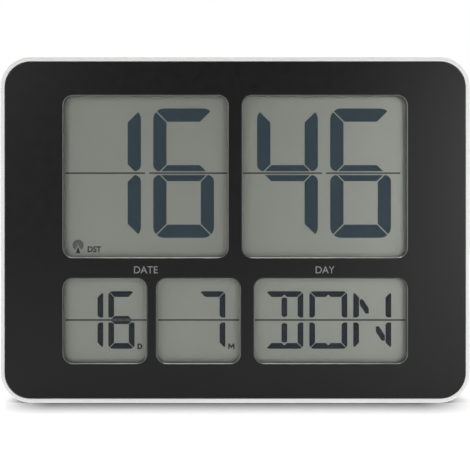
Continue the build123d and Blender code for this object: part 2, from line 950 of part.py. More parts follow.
with BuildPart() as controller_chip:
    with BuildSketch(layer(board_back + chip_height)):
        with Locations(board_spot):
            with Locations(chip_place):
                Circle(chip_radius)
    extrude(amount=chip_height)
    fillet(controller_chip.edges().group_by(Axis.Y)[-1], chip_round)

with BuildPart() as quartz_crystal:
    with BuildSketch(across(crystal_place[0] - crystal_length / 2)):
        with Locations(
            (behind(board_back + crystal_lift + crystal_radius), board_middle + crystal_place[1])
        ):
            Circle(crystal_radius)
    extrude(amount=crystal_length)

with BuildPart() as capacitors:
    with BuildSketch(layer(board_back + capacitor_height)):
        with Locations(board_spot):
            with Locations(capacitor_place):
                with GridLocations(capacitor_pitch, 0, 2, 1):
                    Circle(capacitor_radius)
    extrude(amount=capacitor_height)
    fillet(capacitors.edges().group_by(Axis.Y)[-1], capacitor_round)

with BuildPart() as switch_housings:
    with BuildSketch(layer(board_back + switch_height)):
        with Locations(*[(x, button_rise) for x in button_xs]):
            Rectangle(switch_size, switch_size)
    extrude(amount=switch_height)
    with BuildSketch(layer(board_back + switch_height)):
        with Locations(*[(x, button_rise) for x in button_xs]):
            Circle(plunger_radius + plunger_play)
    extrude(amount=switch_height - switch_floor, mode=Mode.SUBTRACT)


# Each button's switch plunger and cap
def make_plunger(x):
    """Plunger of a tall switch, clear of the switch's floor over the travel."""
    with BuildPart() as plunger:
        with BuildSketch(layer(flange_front)):
            with Locations((x, button_rise)):
                Circle(plunger_radius)
        extrude(amount=flange_front - board_back - 2 * switch_floor - button_travel)
    return plunger


def make_button(x):
    """Round cap in the dish, kept in by a flange behind the wall."""
    with BuildPart() as button:
        with BuildSketch(layer(flange_back)):
            with Locations((x, button_rise)):
                Circle(button_radius + flange_over)
        extrude(amount=flange_thickness)
        with BuildSketch(layer(case_depth - button_inset)):
            with Locations((x, button_rise)):
                Circle(button_radius)
        extrude(amount=case_depth - button_inset - flange_back)
        fillet(button.edges().group_by(Axis.Y)[-1], button_round)
    return button


plungers = {f"{name}_plunger": make_plunger(x) for name, x in zip(button_names, button_xs)}
buttons = {f"{name}_button": make_button(x) for name, x in zip(button_names, button_xs)}


# Cells, contacts and leads
def make_cell(rise, way):
    """AA cell along X with its nub towards -X (way -1) or +X (way 1)."""
    tip = way * (pocket_end - contact_thickness)
    with BuildPart() as cell:
        with BuildSketch(across(tip - way * cell_length)):
            with Locations((behind(cell_depth), rise)):
                Circle(cell_radius)
        extrude(amount=way * (cell_length - cell_nub))
        fillet(cell.edges().filter_by(GeomType.CIRCLE), cell_round)
        with BuildSketch(across(tip)):
            with Locations((behind(cell_depth), rise)):
                Circle(cell_nub_radius)
        extrude(amount=-way * cell_nub)
    return cell


def make_contact(way, points, tab_rises):
    """Bent strip against the left (-1) or right (1) end wall, with solder tabs through the wall.

    The points are distances from the wall and rises.
    """
    half = contact_thickness / 2
    with BuildPart() as contact:
        with BuildSketch(layer(cell_depth + contact_width / 2)):
            with BuildLine():
                Polyline(*[(way * (pocket_end - half - out), rise) for out, rise in points])
            trace(line_width=contact_thickness)
        extrude(amount=contact_width)
        for rise in tab_rises:
            with BuildSketch(across(way * pocket_end)):
                with Locations((behind(cell_depth), rise)):
                    Rectangle(tab_width, contact_thickness)
            extrude(amount=way * (pocket_wall + tab_reach))
    return contact


def leaf(rise):
    """Points of the sprung leaf at a cell's flat end."""
    reach = contact_height / 2
    return (
        (0, rise + reach),
        (leaf_rise - leaf_relief, rise),
        (leaf_rise / 2, rise - reach / 2),
    )


upper_cell = make_cell(upper_cell_rise, -1)
lower_cell = make_cell(lower_cell_rise, 1)

lower_foot = (0, lower_cell_rise - contact_height / 2)
upper_foot = (0, upper_cell_rise - contact_height / 2)
upper_head = (0, upper_cell_rise + contact_height / 2)
positive_contact = make_contact(-1, (upper_foot, upper_head), (upper_cell_rise,))
negative_contact = make_contact(-1, (lower_foot, *leaf(lower_cell_rise)), (lower_cell_rise,))
link_contact = make_contact(1, (lower_foot, *leaf(upper_cell_rise)), ())


def make_lead(rise, pad_x):
    """Insulated lead from a contact tab to its pad on the board."""
    tab_end = -pocket_end - pocket_wall - tab_reach
    with BuildPart() as lead:
        with BuildLine() as route:
            FilletPolyline(
                (tab_end, behind(cell_depth), rise),
                (pad_x, behind(cell_depth), rise),
                (pad_x, behind(cell_depth), lead_pad_rise),
                (pad_x, behind(board_back), lead_pad_rise),
                radius=lead_bend,
            )
        with BuildSketch(across(tab_end)):
            with Locations((behind(cell_depth), rise)):
                Circle(lead_radius)
        sweep(path=route.line)
    return lead


positive_lead = make_lead(upper_cell_rise, lead_pad_x)
negative_lead = make_lead(lower_cell_rise, lead_pad_x - lead_pad_step)

# Battery cover, hinged on two pins at its lower edge
with BuildPart() as battery_cover:
    with BuildSketch(layer(cover_back)) as cover_outline:
        with Locations((0, cover_axis_rise)):
            Rectangle(cover_width, cover_top - cover_axis_rise, align=(Align.CENTER, Align.MIN))
        fillet(cover_outline.vertices().group_by(Axis.Y)[-1], cover_corner)
    extrude(amount=cover_thickness)
    with BuildSketch(across(-cover_width / 2)):
        with Locations((behind(cover_axis_depth), cover_axis_rise)):
            Circle(cover_knuckle)
    extrude(amount=cover_width)
    with BuildSketch(across(-cover_width / 2 - cover_pin_length)):
        with Locations((behind(cover_axis_depth), cover_axis_rise)):
            Circle(cover_pin)
    extrude(amount=cover_width + 2 * cover_pin_length)
    # Grip grooves below the nail notch
    with BuildSketch(layer(cover_back)):
        with Locations((0, cover_top - cover_grip_drop)):
            with GridLocations(0, cover_grip_pitch, 1, cover_grip_lines):
                SlotOverall(cover_grip_width, cover_grip_line)
    extrude(amount=cover_grip_depth, mode=Mode.SUBTRACT)

# Folding stand on two pins at its upper end
with BuildPart() as stand_leg:
    with BuildSketch(layer(stand_back)) as stand_outline:
        with Locations((0, stand_end_rise)):
            Rectangle(stand_width, stand_axis_rise - stand_end_rise, align=(Align.CENTER, Align.MIN))
        fillet(stand_outline.vertices().group_by(Axis.Y)[0], stand_corner)
        with Locations((0, stand_end_rise)):
            Circle(notch_radius, mode=Mode.SUBTRACT)
    extrude(amount=stand_thickness)
    with BuildSketch(across(-stand_width / 2)):
        with Locations((behind(stand_axis_depth), stand_axis_rise)):
            Circle(stand_thickness / 2)
    extrude(amount=stand_width)
    with BuildSketch(across(-stand_width / 2 - stand_pin_length)):
        with Locations((behind(stand_axis_depth), stand_axis_rise)):
            Circle(stand_pin)
    extrude(amount=stand_width + 2 * stand_pin_length)
    # Sunk field on the outside
    field_low = stand_end_rise + notch_radius + stand_panel_border
    field_high = stand_axis_rise - stand_panel_border
    with BuildSketch(layer(stand_back)):
        with Locations((0, (field_low + field_high) / 2)):
            RectangleRounded(
                stand_width - 2 * stand_panel_border, field_high - field_low, stand_corner
            )
    extrude(amount=stand_panel_depth, mode=Mode.SUBTRACT)

# Antenna rod with its coil
with BuildPart() as ferrite_rod:
    with BuildSketch(across(rod_spot[0] - rod_length / 2)):
        with Locations((behind(rod_depth), rod_spot[1])):
            Circle(rod_radius)
    extrude(amount=rod_length)

with BuildPart() as antenna_coil:
    with BuildSketch(across(rod_spot[0] - coil_length / 2)):
        with Locations((behind(rod_depth), rod_spot[1])):
            Circle(coil_radius)
            Circle(rod_radius + rod_play, mode=Mode.SUBTRACT)
    extrude(amount=coil_length)

# Receiver board beside the antenna
receiver_low = receiver_spot[1] - receiver_height / 2
with BuildPart() as receiver_board:
    with BuildSketch(layer(receiver_back)):
        with Locations(receiver_spot):
            Rectangle(receiver_width, receiver_height)
        with Locations(*receiver_post_spots):
            Circle(small_screw[0] + screw_pass, mode=Mode.SUBTRACT)
    extrude(amount=receiver_thickness)

with BuildPart() as receiver_chip:
    with BuildSketch(layer(receiver_front)):
        with Locations(receiver_spot):
            Rectangle(receiver_chip_size, receiver_chip_size)
    extrude(amount=receiver_chip_height)

with BuildPart() as antenna_leads:
    with BuildSketch(Plane.XY.offset(rod_spot[1] + coil_radius + antenna_lead_play)):
        with Locations((rod_spot[0], behind(receiver_back - receiver_thickness / 2))):
            with GridLocations(antenna_lead_pitch, 0, 2, 1):
                Circle(antenna_lead_radius)
    extrude(amount=receiver_low - rod_spot[1] - coil_radius - antenna_lead_play)

# Ribbon from the receiver to the main board
ribbon_start = receiver_spot[1] + receiver_height / 2 - ribbon_inset
ribbon_depth = receiver_front - ribbon_lift
with BuildPart() as receiver_ribbon:
    with BuildLine() as ribbon_route:
        FilletPolyline(
            (ribbon_x, behind(receiver_front), ribbon_start),
            (ribbon_x, behind(ribbon_depth), ribbon_start),
            (ribbon_x, behind(ribbon_depth), ribbon_end_rise),
            (ribbon_x, behind(board_back), ribbon_end_rise),
            radius=ribbon_bend,
        )
    with BuildSketch(layer(receiver_front)):
        with Locations((ribbon_x, ribbon_start)):
            Rectangle(ribbon_width, ribbon_thickness)
    sweep(path=ribbon_route.line)

# Screws of the receiver board, driven from the front, and of the case, from the back
receiver_screws = make_screws(receiver_post_spots, receiver_front, small_screw, -1)
case_screws = make_screws(case_screw_spots, boss_back + well_floor, case_screw, 1)

pieces = {
    "rear_case": rear_case,
    "front_panel": front_panel,
    "window_lens": window_lens,
    "lens_gasket": lens_gasket,
    "lcd_front_polariser": lcd_front_polariser,
    "lcd_front_glass": lcd_front_glass,
    "hour_segments": hour_segments,
    "minute_segments": minute_segments,
    "date_segments": date_segments,
    "month_segments": month_segments,
    "weekday_segments": weekday_segments,
    "lcd_rear_glass": lcd_rear_glass,
    "lcd_reflector": lcd_reflector,
    "lcd_holder": lcd_holder,
    "holder_screws": holder_screws,
    "zebra_strip": zebra_strip,
    "main_board": main_board,
    "board_screws": board_screws,
    "controller_chip": controller_chip,
    "quartz_crystal": quartz_crystal,
    "capacitors": capacitors,
    "switch_housings": switch_housings,
    **plungers,
    **buttons,
    "upper_cell": upper_cell,
    "lower_cell": lower_cell,
    "positive_contact": positive_contact,
    "negative_contact": negative_contact,
    "link_contact": link_contact,
    "positive_lead": positive_lead,
    "negative_lead": negative_lead,
    "battery_cover": battery_cover,
    "stand_leg": stand_leg,
    "ferrite_rod": ferrite_rod,
    "antenna_coil": antenna_coil,
    "antenna_leads": antenna_leads,
    "receiver_board": receiver_board,
    "receiver_chip": receiver_chip,
    "receiver_screws": receiver_screws,
    "receiver_ribbon": receiver_ribbon,
    "case_screws": case_screws,
}
for name, piece in pieces.items():
    piece.part.label = name
    export_step(piece.part, f"parts/{name}.step")
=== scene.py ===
import json
import math

import bmesh
import bpy
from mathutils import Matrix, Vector


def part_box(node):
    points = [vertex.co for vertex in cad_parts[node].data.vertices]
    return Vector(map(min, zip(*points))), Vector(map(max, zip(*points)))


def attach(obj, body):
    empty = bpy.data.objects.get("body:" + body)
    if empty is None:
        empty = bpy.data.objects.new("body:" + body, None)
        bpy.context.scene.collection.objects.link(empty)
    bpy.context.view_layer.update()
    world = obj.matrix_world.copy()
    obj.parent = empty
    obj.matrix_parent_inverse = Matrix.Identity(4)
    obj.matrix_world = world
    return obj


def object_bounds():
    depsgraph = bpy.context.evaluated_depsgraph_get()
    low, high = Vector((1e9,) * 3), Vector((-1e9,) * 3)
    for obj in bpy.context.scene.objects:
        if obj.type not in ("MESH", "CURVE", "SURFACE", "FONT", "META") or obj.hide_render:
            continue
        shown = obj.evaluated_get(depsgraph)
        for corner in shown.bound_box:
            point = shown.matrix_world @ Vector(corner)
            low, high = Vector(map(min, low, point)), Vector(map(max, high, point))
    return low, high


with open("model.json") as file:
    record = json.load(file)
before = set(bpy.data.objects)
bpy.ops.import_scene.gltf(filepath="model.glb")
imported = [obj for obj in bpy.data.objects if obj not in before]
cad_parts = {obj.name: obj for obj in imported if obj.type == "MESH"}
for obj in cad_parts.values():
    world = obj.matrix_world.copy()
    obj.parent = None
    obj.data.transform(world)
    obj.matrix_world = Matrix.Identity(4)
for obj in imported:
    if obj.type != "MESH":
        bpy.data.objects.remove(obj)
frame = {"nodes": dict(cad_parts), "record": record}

cad_low, cad_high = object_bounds()
nodes = frame["nodes"]
scene = bpy.context.scene
scene.view_settings.view_transform = "Standard"
# The display lies behind three clear sheets, six surfaces each way.
scene.cycles.transparent_max_bounces = 32

MM = 0.001
WHITE = (1.0, 1.0, 1.0, 1.0)
BLACK = (0.0, 0.0, 0.0, 1.0)


def linear(*srgb):
    """Linear colour of sRGB values from 0 to 255."""
    parts = [value / 255 for value in srgb]
    return tuple(p / 12.92 if p <= 0.04045 else ((p + 0.055) / 1.055) ** 2.4 for p in parts) + (1.0,)


def shade(colour, factor):
    """Colour made darker or paler."""
    return tuple(min(1.0, part * factor) for part in colour[:3]) + (1.0,)


# Materials. Every pattern is in object space, so its scale is in features per metre, and the
# places where a look changes are in metres.

# A bevel's normal along Y, and how far from it the bevel's gloss and painted highlight start and stop
# fading.
BEVEL_FACING = 0.7071
BEVEL_BAND = (0.04, 0.16)
CLEAR_IOR = 1.49
# Where a cell's pale band and its bare end begin, from the cell's middle.
CELL_BAND = (0.0148, 0.0150)
CELL_END = (0.0246, 0.0248)
# Where the ribbon's red edge ends along X.
RIBBON_EDGE = (0.0656, 0.0658)


class Maker:
    """A principled material with helpers for its pattern nodes."""

    def __init__(self, name):
        self.material = bpy.data.materials.new(name)
        self.material.use_nodes = True
        self.tree = self.material.node_tree
        self.shader = self.tree.nodes["Principled BSDF"]
        self.places = self.tree.nodes.new("ShaderNodeTexCoord").outputs
        self.space = self.places["Object"]

    def feed(self, socket, value):
        """Links a socket to another, or sets it to a constant."""
        if isinstance(value, bpy.types.NodeSocket):
            self.tree.links.new(value, socket)
        else:
            socket.default_value = value

    def put(self, name, value):
        """Feeds an input of the shader."""
        self.feed(self.shader.inputs[name], value)

    def node(self, kind, inputs, **settings):
        """New node with its settings, and its inputs fed."""
        made = self.tree.nodes.new(kind)
        for key, value in settings.items():
            setattr(made, key, value)
        for name, value in inputs.items():
            self.feed(made.inputs[name], value)
        return made

    def noise(self, scale, detail=3.0, roughness=0.55, stretch=None):
        """Noise, stretched by a scale along each axis where one is given."""
        space = self.space
        if stretch:
            mapping = self.node("ShaderNodeMapping", {"Vector": space, "Scale": stretch})
            space = mapping.outputs["Vector"]
        texture = self.node(
            "ShaderNodeTexNoise",
            {"Vector": space, "Scale": scale, "Detail": detail, "Roughness": roughness},
        )
        return texture.outputs["Fac"]

    def bands(self, scale, distortion=0.0):
        """Waves along X."""
        texture = self.node(
            "ShaderNodeTexWave",
            {"Vector": self.space, "Scale": scale, "Distortion": distortion},
            wave_type="BANDS",
            bands_direction="X",
        )
        return texture.outputs["Fac"]

    def ramp(self, source, low, high, start=0.3, end=0.7):
        """Colour from low to high, while the source goes from start to end."""
        made = self.node("ShaderNodeValToRGB", {"Fac": source})
        for point, place, colour in zip(made.color_ramp.elements, (start, end), (low, high)):
            point.position = place
            point.color = colour
        return made.outputs["Color"]

    def spread(self, source, low, high, start=0.3, end=0.7):
        """Value from low to high, while the source goes from start to end."""
        made = self.node(
            "ShaderNodeMapRange",
            {"Value": source, "From Min": start, "From Max": end, "To Min": low, "To Max": high},
        )
        return made.outputs["Result"]

    def mix(self, factor, first, second, blend="MIX"):
        made = self.node(
            "ShaderNodeMix",
            {"Factor": factor, "A": first, "B": second},
            data_type="RGBA",
            blend_type=blend,
        )
        return made.outputs["Result"]

    def math(self, operation, first, second=0.0):
        made = self.node("ShaderNodeMath", {}, operation=operation)
        for socket, value in zip(made.inputs, (first, second)):
            self.feed(socket, value)
        return made.outputs["Value"]

    def axis(self, letter, of="Object"):
        """Place (Object) or direction (Normal) along X, Y or Z in object space."""
        return self.node("ShaderNodeSeparateXYZ", {"Vector": self.places[of]}).outputs[letter]

    def bump(self, source, height, strength):
        made = self.node("ShaderNodeBump", {"Strength": strength, "Distance": height, "Height": source})
        self.put("Normal", made.outputs["Normal"])


def moulded(name, colour, rough, grain=2600.0, depth=0.00003):
    """Moulded plastic: fine grain, cloudy gloss and faint colour drift."""
    maker = Maker(name)
    drift = maker.noise(28.0, detail=4.0)
    maker.put("Base Color", maker.ramp(drift, shade(colour, 0.95), shade(colour, 1.05)))
    cloud = maker.noise(160.0, detail=5.0)
    maker.put("Roughness", maker.spread(cloud, rough - 0.06, rough + 0.06))
    maker.bump(maker.noise(grain, detail=2.0), depth, strength=0.5)
    return maker.material


def metal(name, colour, rough, stretch=(60.0, 60.0, 2400.0)):
    """Plated metal with drawn streaks and handling marks."""
    maker = Maker(name)
    streaks = maker.noise(1.0, detail=4.0, roughness=0.6, stretch=stretch)
    maker.put("Base Color", maker.ramp(streaks, shade(colour, 0.82), shade(colour, 1.06)))
    marks = maker.noise(420.0, detail=5.0)
    maker.put("Roughness", maker.spread(marks, rough - 0.08, rough + 0.1))
    maker.bump(streaks, height=0.00001, strength=0.4)
    maker.put("Metallic", 1.0)
    return maker.material


def white_shell():
    """White case: fine spark grain with faint specks."""
    maker = Maker("white_shell")
    drift = maker.noise(22.0, detail=4.0)
    tone = maker.ramp(drift, linear(226, 227, 226), linear(233, 233, 232))
    specks = maker.ramp(maker.noise(900.0, detail=2.0), shade(WHITE, 0.97), WHITE, start=0.2, end=0.55)
    maker.put("Base Color", maker.mix(1.0, tone, specks, "MULTIPLY"))
    maker.put("Roughness", maker.spread(maker.noise(150.0, detail=5.0), 0.36, 0.5))
    maker.bump(maker.noise(2400.0, detail=2.0), height=0.00003, strength=0.45)
    maker.put("Specular IOR Level", 0.4)
    return maker.material


def black_panel():
    """Satin black front: fine grain, and glossier on the bevels of the windows, where a painted
    highlight makes them paler.
    """
    maker = Maker("black_panel")
    drift = maker.noise(16.0, detail=5.0)
    face = maker.ramp(drift, linear(12, 12, 13), linear(15, 15, 16))
    facing = maker.math("ABSOLUTE", maker.axis("Y", "Normal"))
    off_bevel = maker.math("ABSOLUTE", maker.math("SUBTRACT", facing, BEVEL_FACING))
    bevel = maker.spread(off_bevel, 1.0, 0.0, *BEVEL_BAND)
    # The bevels' pale grey is a painted highlight, standing in for the light their polished edges
    # catch.
    maker.put("Base Color", maker.mix(bevel, face, linear(86, 86, 87)))
    satin = maker.spread(maker.noise(210.0, detail=5.0), 0.35, 0.43)
    polish = maker.math("MULTIPLY", bevel, 0.15)
    maker.put("Roughness", maker.math("SUBTRACT", satin, polish))
    maker.bump(maker.noise(2800.0, detail=2.0), height=0.00002, strength=0.35)
    maker.put("Specular IOR Level", maker.spread(bevel, 0.5, 1.0, start=0.0, end=1.0))
    return maker.material


def lcd_field():
    """Grey-green reflective ground of the display: pearl grain and a faint cloudy drift."""
    maker = Maker("lcd_field")
    pearl = maker.noise(3200.0, detail=2.0)
    tone = maker.ramp(maker.noise(14.0), linear(159, 162, 153), linear(163, 166, 157))
    grain = maker.ramp(pearl, shade(WHITE, 0.96), WHITE)
    maker.put("Base Color", maker.mix(1.0, tone, grain, "MULTIPLY"))
    maker.put("Roughness", maker.spread(pearl, 0.38, 0.46))
    maker.put("Specular IOR Level", 1.0)
    maker.put("Metallic", 0.55)
    return maker.material


def mottled(maker, colour):
    """Faint mottling of an ink's colour."""
    return maker.ramp(maker.noise(380.0, detail=4.0), shade(colour, 0.92), shade(colour, 1.08))


def finish_ink(maker, tone):
    """Ink of a given tone, with its dull gloss."""
    maker.put("Base Color", tone)
    maker.put("Roughness", maker.spread(maker.noise(900.0), 0.42, 0.52))
    maker.put("Specular IOR Level", 0.2)
    return maker.material


def ink(name, colour):
    """Printed or switched ink of one colour."""
    maker = Maker(name)
    return finish_ink(maker, mottled(maker, colour))


def fold_rise(node):
    """Height of the fold line, which halves the digits."""
    low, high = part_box(node)
    return (low.z + high.z) / 2


# Half of the height around a fold line that has its colour.
FOLD_HALF = 0.0005
TIME_FOLD = fold_rise("hour_segments")
CALENDAR_FOLD = fold_rise("date_segments")
ROW_SPLIT = (TIME_FOLD + CALENDAR_FOLD) / 2


def segment_ink(time_colour, calendar_colour, time_fold, calendar_fold):
    """Lit segments: deep blue-grey for the time, darker below it, browner along the fold lines."""
    maker = Maker("lcd_segments")
    rise = maker.axis("Z")
    below = maker.math("LESS_THAN", rise, ROW_SPLIT)
    tone = maker.mix(below, mottled(maker, time_colour), mottled(maker, calendar_colour))
    for fold, fold_colour in ((TIME_FOLD, time_fold), (CALENDAR_FOLD, calendar_fold)):
        beside = maker.math("ABSOLUTE", maker.math("SUBTRACT", rise, fold))
        tone = maker.mix(maker.math("LESS_THAN", beside, FOLD_HALF), tone, fold_colour)
    return finish_ink(maker, tone)


def clear_sheet(name, colour, alpha, rough):
    """Clear sheet, seen mostly by its gloss; faint wipe marks vary its roughness."""
    maker = Maker(name)
    wipes = maker.noise(1.0, detail=4.0, roughness=0.6, stretch=(40.0, 40.0, 240.0))
    maker.put("Base Color", maker.ramp(wipes, shade(colour, 0.95), colour))
    maker.put("Roughness", maker.spread(wipes, rough, rough + 0.06))
    maker.put("Alpha", alpha)
    maker.put("IOR", CLEAR_IOR)
    return maker.material


def circuit_board():
    """Green board with a run of tracks under the lacquer."""
    maker = Maker("board")
    lacquer = maker.ramp(maker.noise(70.0, detail=4.0), linear(22, 74, 44), linear(30, 88, 54))
    upright = maker.node(
        "ShaderNodeMapping", {"Vector": maker.space, "Rotation": (math.pi / 2, 0.0, 0.0)}
    )
    tracks = maker.node(
        "ShaderNodeTexBrick",
        {
            "Vector": upright.outputs["Vector"],
            "Scale": 90.0,
            "Mortar Size": 0.06,
            "Color1": BLACK,
            "Color2": BLACK,
            "Mortar": WHITE,
        },
    )
    maker.put("Base Color", maker.mix(tracks.outputs["Color"], lacquer, linear(62, 128, 84)))
    maker.put("Roughness", maker.spread(maker.noise(300.0, detail=4.0), 0.3, 0.42))
    maker.bump(tracks.outputs["Fac"], height=0.00003, strength=0.6)
    return maker.material


def cell_sleeve():
    """Plain cell: dark sleeve, a paler band towards each end, bare metal at the ends."""
    maker = Maker("cell_sleeve")
    along = maker.math("ABSOLUTE", maker.axis("X"))
    scuffs = maker.noise(1.0, detail=5.0, roughness=0.6, stretch=(90.0, 900.0, 900.0))
    dark = maker.ramp(scuffs, linear(38, 40, 44), linear(50, 52, 57), end=0.75)
    pale = maker.ramp(scuffs, linear(150, 152, 156), linear(176, 178, 181), end=0.75)
    steel = maker.ramp(scuffs, linear(176, 177, 178), linear(206, 206, 205), end=0.75)
    band = maker.spread(along, 0.0, 1.0, *CELL_BAND)
    ends = maker.spread(along, 0.0, 1.0, *CELL_END)
    maker.put("Base Color", maker.mix(ends, maker.mix(band, dark, pale), steel))
    maker.put("Metallic", ends)
    maker.put("Roughness", maker.spread(scuffs, 0.24, 0.38))
    maker.bump(scuffs, height=0.00001, strength=0.3)
    return maker.material


def wound_copper():
    """Enamelled copper winding: rings of wire along the rod."""
    maker = Maker("copper")
    rings = maker.bands(620.0, distortion=0.4)
    copper = maker.ramp(rings, linear(110, 54, 28), linear(184, 104, 60), start=0.1, end=0.6)
    maker.put("Base Color", copper)
    maker.put("Roughness", maker.spread(maker.noise(500.0), 0.25, 0.4))
    maker.bump(rings, height=0.0001, strength=0.8)
    maker.put("Metallic", 1.0)
    return maker.material


def striped_ribbon():
    """Grey ribbon cable: ribs along its conductors and one red edge."""
    maker = Maker("grey_ribbon")
    ribs = maker.bands(300.0)
    grey = maker.ramp(ribs, linear(120, 121, 123), linear(160, 161, 163), start=0.1, end=0.6)
    edge = maker.spread(maker.axis("X"), 1.0, 0.0, *RIBBON_EDGE)
    maker.put("Base Color", maker.mix(edge, grey, linear(150, 40, 36)))
    maker.put("Roughness", maker.spread(maker.noise(260.0), 0.4, 0.55))
    maker.bump(ribs, height=0.0001, strength=0.7)
    return maker.material


def foam_frame():
    """Open foam of the lens frame: pores and soft sheen."""
    maker = Maker("foam")
    cells = maker.node("ShaderNodeTexVoronoi", {"Vector": maker.space, "Scale": 1800.0})
    pores = cells.outputs["Distance"]
    maker.put(
        "Base Color", maker.ramp(pores, linear(44, 44, 46), linear(24, 24, 26), start=0.1, end=0.6)
    )
    maker.put("Roughness", maker.spread(maker.noise(400.0), 0.82, 0.95))
    maker.bump(pores, height=0.0001, strength=0.8)
    return maker.material


finishes = {
    "white_shell": white_shell(),
    "black_panel": black_panel(),
    "clear_lens": clear_sheet("clear_lens", linear(240, 244, 240), alpha=0.004, rough=0.03),
    "foam": foam_frame(),
    "clear_film": clear_sheet("clear_film", linear(150, 156, 146), alpha=0.004, rough=0.1),
    "lcd_glass": clear_sheet("lcd_glass", linear(226, 236, 228), alpha=0.003, rough=0.02),
    "lcd_field": lcd_field(),
    "lcd_reflector": metal(
        "lcd_reflector", linear(196, 200, 190), rough=0.45, stretch=(300.0, 300.0, 300.0)
    ),
    "lcd_segments": segment_ink(
        time_colour=linear(36, 54, 64),
        calendar_colour=linear(22, 32, 42),
        time_fold=linear(48, 50, 45),
        calendar_fold=linear(36, 38, 34),
    ),
    "holder_plastic": moulded("holder_plastic", linear(58, 60, 62), rough=0.5),
    "screw_steel": metal("screw_steel", linear(186, 188, 190), rough=0.3),
    "connector_rubber": moulded("connector_rubber", linear(206, 172, 176), rough=0.7, grain=900.0),
    "board": circuit_board(),
    "chip_resin": moulded("chip_resin", linear(24, 24, 25), rough=0.42, grain=1500.0),
    "metal_can": metal("metal_can", linear(196, 197, 200), rough=0.25),
    "capacitor_sleeve": moulded("capacitor_sleeve", linear(26, 34, 66), rough=0.35, grain=700.0),
    "switch_plastic": moulded("switch_plastic", linear(34, 34, 36), rough=0.5),
    "button_plastic": moulded(
        "button_plastic", linear(150, 152, 154), rough=0.5, grain=1800.0, depth=0.00004
    ),
    "cell_sleeve": cell_sleeve(),
    "contact_metal": metal("contact_metal", linear(206, 205, 200), rough=0.28),
    "red_insulation": moulded("red_insulation", linear(168, 34, 30), rough=0.45, grain=900.0),
    "black_insulation": moulded("black_insulation", linear(28, 28, 29), rough=0.45, grain=900.0),
    "ferrite": moulded("ferrite", linear(52, 50, 50), rough=0.62, grain=1300.0, depth=0.00006),
    "copper": wound_copper(),
    "grey_ribbon": striped_ribbon(),
}
for part in frame["record"]["subparts"]:
    mesh = nodes[part["node"]].data
    mesh.materials.clear()
    mesh.materials.append(finishes[part["material_slot"]])

label_ink = ink("label_ink", linear(134, 134, 135))
sign_ink = ink("sign_ink", linear(36, 42, 41))
wave_ink = ink("wave_ink", linear(84, 91, 90))


# Signs. They lie in the X-Z plane and face -Y. Their places are in millimetres: a row is from low
# to high along Z, and a depth is from back to front along Y.

LABEL_PROUD = 0.04
LABEL_BOLD = 0.004
LABEL_ROW = (77.25, 81.5)
LETTER_ROW = (31.6, 34.9)
SUMMER_TIME_ROW = (89.8, 93.3)
FONT_STEPS = 6
WELD = 1e-5
SLANT_SHARE = 1.9
DIP_SHARE = 0.12
RADIO_X = -94.35
MAST_FEET = (-95.7, -93.0)
MAST_ROW = (89.2, 93.2)
WAVES_RISE = 94.0
WAVES_SWEEP = (-56.0, 236.0)
WAVES_RINGS = ((0.35, 1.0), (1.14, 1.8), (1.94, 2.58), (2.7, 3.3))


def new_piece(name, mesh, material, body="case"):
    """Piece of the scene, riding its body."""
    piece = bpy.data.objects.new(name, mesh)
    scene.collection.objects.link(piece)
    mesh.materials.clear()
    mesh.materials.append(material)
    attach(piece, body)


def raise_faces(form, faces, offset):
    """Extrudes faces of a form into plates."""
    grown = bmesh.ops.extrude_face_region(form, geom=faces)
    raised = [part for part in grown["geom"] if isinstance(part, bmesh.types.BMVert)]
    bmesh.ops.translate(form, verts=raised, vec=offset)


def close_form(form, mesh):
    """Writes a form to a mesh, with its faces outwards."""
    bmesh.ops.recalc_face_normals(form, faces=form.faces)
    form.to_mesh(mesh)
    form.free()


def word_outline(text, bold):
    """Flat mesh of a word in the plain font, in the X-Y plane."""
    curve = bpy.data.curves.new("word", "FONT")
    curve.body = text
    curve.resolution_u = FONT_STEPS
    curve.offset = bold
    holder = bpy.data.objects.new("word", curve)
    scene.collection.objects.link(holder)
    bpy.context.view_layer.update()
    graph = bpy.context.evaluated_depsgraph_get()
    mesh = bpy.data.meshes.new_from_object(holder.evaluated_get(graph))
    bpy.data.objects.remove(holder)
    bpy.data.curves.remove(curve)
    return mesh


def word(name, text, middle, width, row, depth, bold, material, slot):
    """Word stretched to its width, row and depth."""
    mesh = word_outline(text, bold)
    mesh.name = name
    form = bmesh.new()
    form.from_mesh(mesh)
    bmesh.ops.remove_doubles(form, verts=form.verts, dist=WELD)
    raise_faces(form, form.faces[:], (0, 0, 1.0))
    points = [vertex.co.copy() for vertex in form.verts]
    starts = [min(point[i] for point in points) for i in range(3)]
    ends = [max(point[i] for point in points) for i in range(3)]
    targets = ((middle - width / 2, middle + width / 2), row, depth)
    for vertex, point in zip(form.verts, points):
        shares = [(point[i] - starts[i]) / (ends[i] - starts[i]) for i in range(3)]
        across, rise, deep = (low + share * (high - low) for share, (low, high) in zip(shares, targets))
        vertex.co = (across * MM, deep * MM, rise * MM)
    close_form(form, mesh)
    new_piece(name, mesh, material)


def flat_mesh(name, outlines, depth):
    """Plates from outlines in the X-Z plane."""
    back, front = depth
    form = bmesh.new()
    for outline in outlines:
        face = form.faces.new([form.verts.new((x * MM, back * MM, z * MM)) for x, z in outline])
        raise_faces(form, [face], (0, (front - back) * MM, 0))
    mesh = bpy.data.meshes.new(name)
    close_form(form, mesh)
    return mesh


def arc(centre, inner, outer, start, end, steps=20):
    """Outline of a ring sector; angles in degrees from +X."""
    turns = [math.radians(start + (end - start) * step / steps) for step in range(steps + 1)]
    rim = [(centre[0] + outer * math.cos(t), centre[1] + outer * math.sin(t)) for t in turns]
    turns.reverse()
    hole = [(centre[0] + inner * math.cos(t), centre[1] + inner * math.sin(t)) for t in turns]
    return rim + hole


